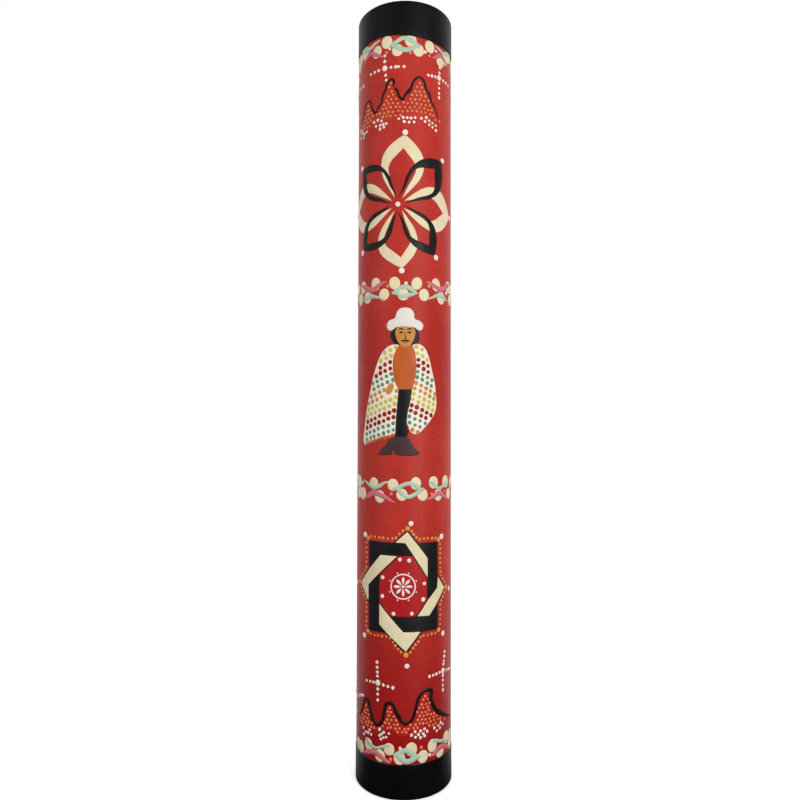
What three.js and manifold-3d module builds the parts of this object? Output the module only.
// A rainstick: a painted plastic tube, closed by a wooden plug at each end and
// wrapped in a black band there. A spiral of bamboo pegs crosses the bore, and
// small round stones trickle through them when the tube is turned over.
//
// Millimetres, +Z up along the tube. The origin is the middle of the bottom face.
import * as THREE from "three";
import { mergeVertices } from "three/addons/utils/BufferGeometryUtils.js";
import Module from "manifold-3d";

// Driving dimensions
const LENGTH = 610; // the tube, end face to end face
const OUTER_DIAMETER = 76;
const WALL = 3;
const RIM_CHAMFER = 0.6; // broken edge round each end of the tube

const BAND_HEIGHT = 27; // from the end face to the band's inner edge
const BAND_THICKNESS = 0.4;
const BAND_SETBACK = 0.8; // the band stops this short of the end face

const PLUG_THICKNESS = 10;
const PLUG_CHAMFER = 0.8;

const PEG_DIAMETER = 2.5;
const PEG_COUNT = 42;
const PEG_END_MARGIN = 28.5; // from a plug to the nearest peg's axis
const PEG_DIRECTIONS = 6; // pegs in half a turn of the spiral
const PEG_SKIN = 1; // putty and paint that close a peg's hole from outside

const STONE_DIAMETER = 7; // across a stone's corners
const STONE_PACKING = 0.8; // spacing in a heap, as a share of the diameter
const STONE_LAYERS = 3;

// Clearances
const BAND_CLEARANCE = 0.05;
const PLUG_CLEARANCE = 0.15;
const PEG_CLEARANCE = 0.1;
const STONE_CLEARANCE = 0.4; // between a stone and a wall, a plug or a peg

// Smoothness
const ROUND_SEGMENTS = 72;
const PEG_SEGMENTS = 8;

const TURN = 2 * Math.PI;
const tubeRadius = OUTER_DIAMETER / 2;
const boreRadius = tubeRadius - WALL;
const laneCount = 2 * PEG_DIRECTIONS; // the straight ways past the pegs, along the wall
const laneAngle = TURN / laneCount;

const paint = {
  tube: new THREE.MeshStandardMaterial({ color: 0xb32a26, roughness: 0.4, metalness: 0 }),
  band: new THREE.MeshStandardMaterial({ color: 0x161518, roughness: 0.5, metalness: 0 }),
  plug: new THREE.MeshStandardMaterial({ color: 0x1b191a, roughness: 0.6, metalness: 0 }),
  peg: new THREE.MeshStandardMaterial({ color: 0xd2b27a, roughness: 0.7, metalness: 0 }),
  stone: new THREE.MeshStandardMaterial({ color: 0x9a8f80, roughness: 0.8, metalness: 0 }),
};

const wasm = await Module();
wasm.setup();

// A closed geometry as a solid that can be cut and joined.
function solidOf(geometry) {
  const bare = geometry.clone();
  bare.deleteAttribute("normal");
  bare.deleteAttribute("uv");
  const merged = mergeVertices(bare, 1e-4);
  return new wasm.Manifold(
    new wasm.Mesh({
      numProp: 3,
      vertProperties: merged.attributes.position.array,
      triVerts: new Uint32Array(merged.index.array),
    }),
  );
}

function geometryOf(solid) {
  const mesh = solid.getMesh();
  const geometry = new THREE.BufferGeometry();
  geometry.setAttribute("position", new THREE.BufferAttribute(mesh.vertProperties, 3));
  geometry.setIndex(new THREE.BufferAttribute(mesh.triVerts, 1));
  geometry.computeVertexNormals();
  return geometry;
}

// A ring or disc turned about Z from a closed outline of [radius, height] points,
// listed anticlockwise.
function turned(outline) {
  const points = [...outline, outline[0]].map(([r, z]) => new THREE.Vector2(r, z));
  return new THREE.LatheGeometry(points, ROUND_SEGMENTS).rotateX(Math.PI / 2);
}

// A round rod lying along X, centred on the origin.
function rod(diameter, length) {
  return new THREE.CylinderGeometry(diameter / 2, diameter / 2, length, PEG_SEGMENTS).rotateZ(
    Math.PI / 2,
  );
}

// Where each peg crosses the axis, and which way it points.
function pegPlaces() {
  const first = PLUG_THICKNESS + PEG_END_MARGIN;
  const spacing = (LENGTH - 2 * first) / (PEG_COUNT - 1);
  const places = [];
  for (let i = 0; i < PEG_COUNT; i++) {
    places.push({ height: first + i * spacing, angle: (i + 0.5) * laneAngle });
  }
  return places;
}

// The tube, with a blind pocket in the wall for each end of each peg.
function tube() {
  const shell = turned([
    [boreRadius, 0],
    [tubeRadius - RIM_CHAMFER, 0],
    [tubeRadius, RIM_CHAMFER],
    [tubeRadius, LENGTH - RIM_CHAMFER],
    [tubeRadius - RIM_CHAMFER, LENGTH],
    [boreRadius, LENGTH],
  ]);
  const pocket = rod(PEG_DIAMETER + 2 * PEG_CLEARANCE, 2 * (tubeRadius - PEG_SKIN));
  let solid = solidOf(shell);
  for (const { height, angle } of pegPlaces()) {
    solid = solid.subtract(solidOf(pocket.clone().rotateZ(angle).translate(0, 0, height)));
  }
  return new THREE.Mesh(geometryOf(solid), paint.tube);
}

function band() {
  const inner = tubeRadius + BAND_CLEARANCE;
  const outer = inner + BAND_THICKNESS;
  return new THREE.Mesh(
    turned([
      [inner, BAND_SETBACK],
      [outer, BAND_SETBACK],
      [outer, BAND_HEIGHT],
      [inner, BAND_HEIGHT],
    ]),
    paint.band,
  );
}

function plug() {
  const radius = boreRadius - PLUG_CLEARANCE;
  return new THREE.Mesh(
    turned([
      [0, 0],
      [radius, 0],
      [radius, PLUG_THICKNESS - PLUG_CHAMFER],
      [radius - PLUG_CHAMFER, PLUG_THICKNESS],
      [0, PLUG_THICKNESS],
    ]),
    paint.plug,
  );
}

function peg() {
  const length = 2 * (tubeRadius - PEG_SKIN - PEG_CLEARANCE);
  return new THREE.Mesh(rod(PEG_DIAMETER, length), paint.peg);
}

// How far to either side of the lane along +X a stone's middle can lie, at x from the
// axis, and still miss the pegs that bound the lane. It is negative where none fits.
function roomBesideLane(x) {
  const half = laneAngle / 2;
  const needed = PEG_DIAMETER / 2 + STONE_CLEARANCE + STONE_DIAMETER / 2;
  return (x * Math.sin(half) - needed) / Math.cos(half);
}

// The middles of the stones in one layer of the heap, row by row from the wall inwards:
// two side by side where the lane is wide enough, then one.
function stoneLayer(step) {
  const reach = boreRadius - STONE_CLEARANCE - STONE_DIAMETER / 2;
  const outermost = Math.sqrt(reach ** 2 - (step / 2) ** 2);
  const rowGap = step * Math.sin(Math.PI / 3);
  const places = [];
  for (let x = outermost; roomBesideLane(x) >= 0; x -= rowGap) {
    if (roomBesideLane(x) >= step / 2) {
      places.push([x, -step / 2], [x, step / 2]);
    } else {
      places.push([x, 0]);
    }
  }
  return places;
}

// The share of the stones that lies in one lane, held together as one heap.
function stoneHeap() {
  const step = STONE_DIAMETER * STONE_PACKING;
  const stone = new THREE.IcosahedronGeometry(STONE_DIAMETER / 2, 0);
  const lowest = PLUG_THICKNESS + STONE_CLEARANCE + STONE_DIAMETER / 2;
  let heap = null;
  for (let layer = 0; layer < STONE_LAYERS; layer++) {
    for (const [x, y] of stoneLayer(step)) {
      const placed = solidOf(stone.clone().translate(x, y, lowest + layer * step));
      heap = heap ? heap.add(placed) : placed;
    }
  }
  return geometryOf(heap);
}

const rainstick = new THREE.Group();

function addPiece(mesh, name) {
  mesh.name = name;
  rainstick.add(mesh);
  return mesh;
}

// A piece made for the bottom end, turned over to close the top end.
function addAtTop(mesh, name) {
  addPiece(mesh, name);
  mesh.rotation.x = Math.PI;
  mesh.position.z = LENGTH;
}

function numbered(name, index) {
  return name + "_" + String(index + 1).padStart(2, "0");
}

addPiece(tube(), "tube");
addPiece(plug(), "bottom_plug");
addAtTop(plug(), "top_plug");
addPiece(band(), "bottom_band");
addAtTop(band(), "top_band");

pegPlaces().forEach(({ height, angle }, i) => {
  const mesh = addPiece(peg(), numbered("peg", i));
  mesh.rotation.z = angle;
  mesh.position.z = height;
});

const heapGeometry = stoneHeap();
for (let i = 0; i < laneCount; i++) {
  const mesh = addPiece(new THREE.Mesh(heapGeometry, paint.stone), numbered("stones", i));
  mesh.rotation.z = i * laneAngle;
}

export default rainstick;
